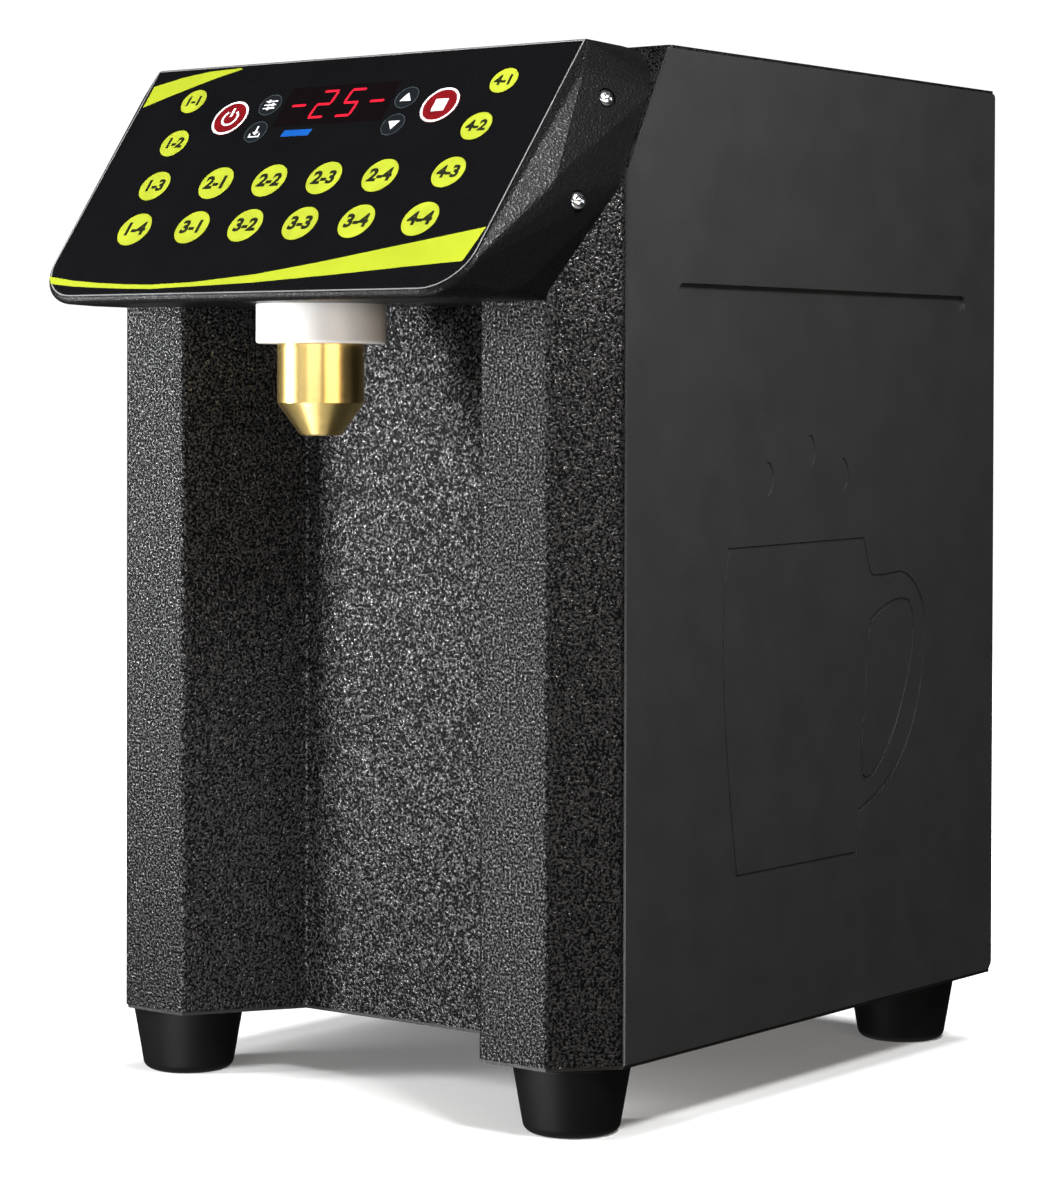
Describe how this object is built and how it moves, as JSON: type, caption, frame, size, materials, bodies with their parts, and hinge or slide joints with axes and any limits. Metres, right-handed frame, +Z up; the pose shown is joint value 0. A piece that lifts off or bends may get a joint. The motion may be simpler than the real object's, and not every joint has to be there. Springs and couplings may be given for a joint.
{
  "type": "fructose_dispenser",
  "caption": "Countertop fructose syrup dispenser with a cup niche under a brass nozzle, a sloping keypad console, a rear-hinged filler lid, a syrup tank and a gear pump",
  "frame": {"origin": "on the floor, in the middle of the width and the depth", "axes": "+X to the machine's left-hand side as it faces the user (the viewer's right), +Y from the front to the back, +Z up"},
  "size_m": [0.267, 0.3676, 0.4313],
  "materials": {
    "wrinkle_black": "black wrinkle powder coat, coarse grain",
    "black_sheet": "plain black powder coat",
    "side_grey": "fine-grained dark grey powder coat",
    "console_black": "black shell with a textured coat",
    "keypad_black": "satin black keypad film",
    "display_red": "dark red tinted window",
    "key_yellow": "yellow-green film disc",
    "key_red": "red film disc",
    "key_dark": "dark film disc",
    "white_plastic": "white moulded collar",
    "brass": "turned and polished brass",
    "steel": "plain bright steel",
    "tank_steel": "brushed stainless sheet",
    "motor_steel": "dull plated motor can",
    "aluminium": "machined aluminium",
    "black_plastic": "black moulded plastic",
    "board_green": "green circuit board",
    "hose": "translucent silicone hose",
    "heater_orange": "orange silicone heating pad",
    "gasket": "pale silicone gasket",
    "foot_rubber": "black rubber"
  },
  "bodies": {
    "casing": {"base_pan": "black_sheet", "front_panel": "wrinkle_black", "left_side_panel": "side_grey", "right_side_panel": "side_grey", "rear_panel": "black_sheet", "top_panel": "wrinkle_black", "panel_screws": "steel", "console_housing": "console_black", "console_screws": "steel", "keypad_overlay": "keypad_black", "display_window": "display_red", "display_module": "black_plastic", "keypad_board": "board_green", "tact_switches": "steel", "nozzle_collar": "white_plastic", "nozzle_body": "brass", "nozzle_spring": "steel", "pump_housing": "aluminium", "pump_cover": "aluminium", "pump_motor": "motor_steel", "pump_bracket": "aluminium", "suction_hose": "hose", "delivery_hose": "hose", "syrup_tank": "tank_steel", "tank_heater": "heater_orange", "control_board": "board_green", "power_supply": "aluminium", "power_inlet": "black_plastic", "switch_body": "black_plastic", "lid_hinge_pin": "steel", "feet": "foot_rubber", "foot_screws": "steel"},
    "key_1_1_body": {"key_1_1": "key_yellow"},
    "key_1_2_body": {"key_1_2": "key_yellow"},
    "key_1_3_body": {"key_1_3": "key_yellow"},
    "key_1_4_body": {"key_1_4": "key_yellow"},
    "key_2_1_body": {"key_2_1": "key_yellow"},
    "key_2_2_body": {"key_2_2": "key_yellow"},
    "key_2_3_body": {"key_2_3": "key_yellow"},
    "key_2_4_body": {"key_2_4": "key_yellow"},
    "key_3_1_body": {"key_3_1": "key_yellow"},
    "key_3_2_body": {"key_3_2": "key_yellow"},
    "key_3_3_body": {"key_3_3": "key_yellow"},
    "key_3_4_body": {"key_3_4": "key_yellow"},
    "key_4_1_body": {"key_4_1": "key_yellow"},
    "key_4_2_body": {"key_4_2": "key_yellow"},
    "key_4_3_body": {"key_4_3": "key_yellow"},
    "key_4_4_body": {"key_4_4": "key_yellow"},
    "key_power_body": {"key_power": "key_red"},
    "key_stop_body": {"key_stop": "key_red"},
    "key_set_body": {"key_set": "key_dark"},
    "key_save_body": {"key_save": "key_dark"},
    "key_up_body": {"key_up": "key_dark"},
    "key_down_body": {"key_down": "key_dark"},
    "lid_body": {"filler_lid": "wrinkle_black", "lid_gasket": "gasket"},
    "drive_gear_body": {"drive_gear": "steel"},
    "driven_gear_body": {"driven_gear": "steel"},
    "rocker_body": {"switch_rocker": "black_plastic"},
    "ball_body": {"nozzle_ball": "steel"}
  },
  "joints": [
    {"name": "key_1_1_press", "type": "slide", "parent": "casing", "child": "key_1_1_body", "axis": [0, 0.7923, -0.6101], "range_m": [0, 0.0005], "stiffness_N_per_m": 800},
    {"name": "key_1_2_press", "type": "slide", "parent": "casing", "child": "key_1_2_body", "axis": [0, 0.7923, -0.6101], "range_m": [0, 0.0005], "stiffness_N_per_m": 800},
    {"name": "key_1_3_press", "type": "slide", "parent": "casing", "child": "key_1_3_body", "axis": [0, 0.7923, -0.6101], "range_m": [0, 0.0005], "stiffness_N_per_m": 800},
    {"name": "key_1_4_press", "type": "slide", "parent": "casing", "child": "key_1_4_body", "axis": [0, 0.7923, -0.6101], "range_m": [0, 0.0005], "stiffness_N_per_m": 800},
    {"name": "key_2_1_press", "type": "slide", "parent": "casing", "child": "key_2_1_body", "axis": [0, 0.7923, -0.6101], "range_m": [0, 0.0005], "stiffness_N_per_m": 800},
    {"name": "key_2_2_press", "type": "slide", "parent": "casing", "child": "key_2_2_body", "axis": [0, 0.7923, -0.6101], "range_m": [0, 0.0005], "stiffness_N_per_m": 800},
    {"name": "key_2_3_press", "type": "slide", "parent": "casing", "child": "key_2_3_body", "axis": [0, 0.7923, -0.6101], "range_m": [0, 0.0005], "stiffness_N_per_m": 800},
    {"name": "key_2_4_press", "type": "slide", "parent": "casing", "child": "key_2_4_body", "axis": [0, 0.7923, -0.6101], "range_m": [0, 0.0005], "stiffness_N_per_m": 800},
    {"name": "key_3_1_press", "type": "slide", "parent": "casing", "child": "key_3_1_body", "axis": [0, 0.7923, -0.6101], "range_m": [0, 0.0005], "stiffness_N_per_m": 800},
    {"name": "key_3_2_press", "type": "slide", "parent": "casing", "child": "key_3_2_body", "axis": [0, 0.7923, -0.6101], "range_m": [0, 0.0005], "stiffness_N_per_m": 800},
    {"name": "key_3_3_press", "type": "slide", "parent": "casing", "child": "key_3_3_body", "axis": [0, 0.7923, -0.6101], "range_m": [0, 0.0005], "stiffness_N_per_m": 800},
    {"name": "key_3_4_press", "type": "slide", "parent": "casing", "child": "key_3_4_body", "axis": [0, 0.7923, -0.6101], "range_m": [0, 0.0005], "stiffness_N_per_m": 800},
    {"name": "key_4_1_press", "type": "slide", "parent": "casing", "child": "key_4_1_body", "axis": [0, 0.7923, -0.6101], "range_m": [0, 0.0005], "stiffness_N_per_m": 800},
    {"name": "key_4_2_press", "type": "slide", "parent": "casing", "child": "key_4_2_body", "axis": [0, 0.7923, -0.6101], "range_m": [0, 0.0005], "stiffness_N_per_m": 800},
    {"name": "key_4_3_press", "type": "slide", "parent": "casing", "child": "key_4_3_body", "axis": [0, 0.7923, -0.6101], "range_m": [0, 0.0005], "stiffness_N_per_m": 800},
    {"name": "key_4_4_press", "type": "slide", "parent": "casing", "child": "key_4_4_body", "axis": [0, 0.7923, -0.6101], "range_m": [0, 0.0005], "stiffness_N_per_m": 800},
    {"name": "key_power_press", "type": "slide", "parent": "casing", "child": "key_power_body", "axis": [0, 0.7923, -0.6101], "range_m": [0, 0.0005], "stiffness_N_per_m": 800},
    {"name": "key_stop_press", "type": "slide", "parent": "casing", "child": "key_stop_body", "axis": [0, 0.7923, -0.6101], "range_m": [0, 0.0005], "stiffness_N_per_m": 800},
    {"name": "key_set_press", "type": "slide", "parent": "casing", "child": "key_set_body", "axis": [0, 0.7923, -0.6101], "range_m": [0, 0.0005], "stiffness_N_per_m": 800},
    {"name": "key_save_press", "type": "slide", "parent": "casing", "child": "key_save_body", "axis": [0, 0.7923, -0.6101], "range_m": [0, 0.0005], "stiffness_N_per_m": 800},
    {"name": "key_up_press", "type": "slide", "parent": "casing", "child": "key_up_body", "axis": [0, 0.7923, -0.6101], "range_m": [0, 0.0005], "stiffness_N_per_m": 800},
    {"name": "key_down_press", "type": "slide", "parent": "casing", "child": "key_down_body", "axis": [0, 0.7923, -0.6101], "range_m": [0, 0.0005], "stiffness_N_per_m": 800},
    {"name": "lid_hinge", "type": "hinge", "parent": "casing", "child": "lid_body", "pos_m": [0, 0.15215, 0.4264], "axis": [-1, 0, 0], "range_deg": [0, 100]},
    {"name": "drive_spin", "type": "hinge", "parent": "casing", "child": "drive_gear_body", "pos_m": [0, -0.00715, 0.082], "axis": [0, 1, 0], "continuous": true},
    {"name": "driven_spin", "type": "hinge", "parent": "casing", "child": "driven_gear_body", "pos_m": [0, -0.00715, 0.102], "axis": [0, 1, 0], "continuous": true},
    {"name": "rocker_tilt", "type": "hinge", "parent": "casing", "child": "rocker_body", "pos_m": [0.084, 0.17685, 0.116], "axis": [-1, 0, 0], "range_deg": [0, 22]},
    {"name": "ball_lift", "type": "slide", "parent": "casing", "child": "ball_body", "axis": [0, 0, -1], "range_m": [0, 0.003], "stiffness_N_per_m": 150, "springref_m": -0.003, "deforming": ["nozzle_spring"]}
  ],
  "couplings": [
    {"joint": "driven_spin", "follows": "drive_spin", "ratio": -1}
  ]
}
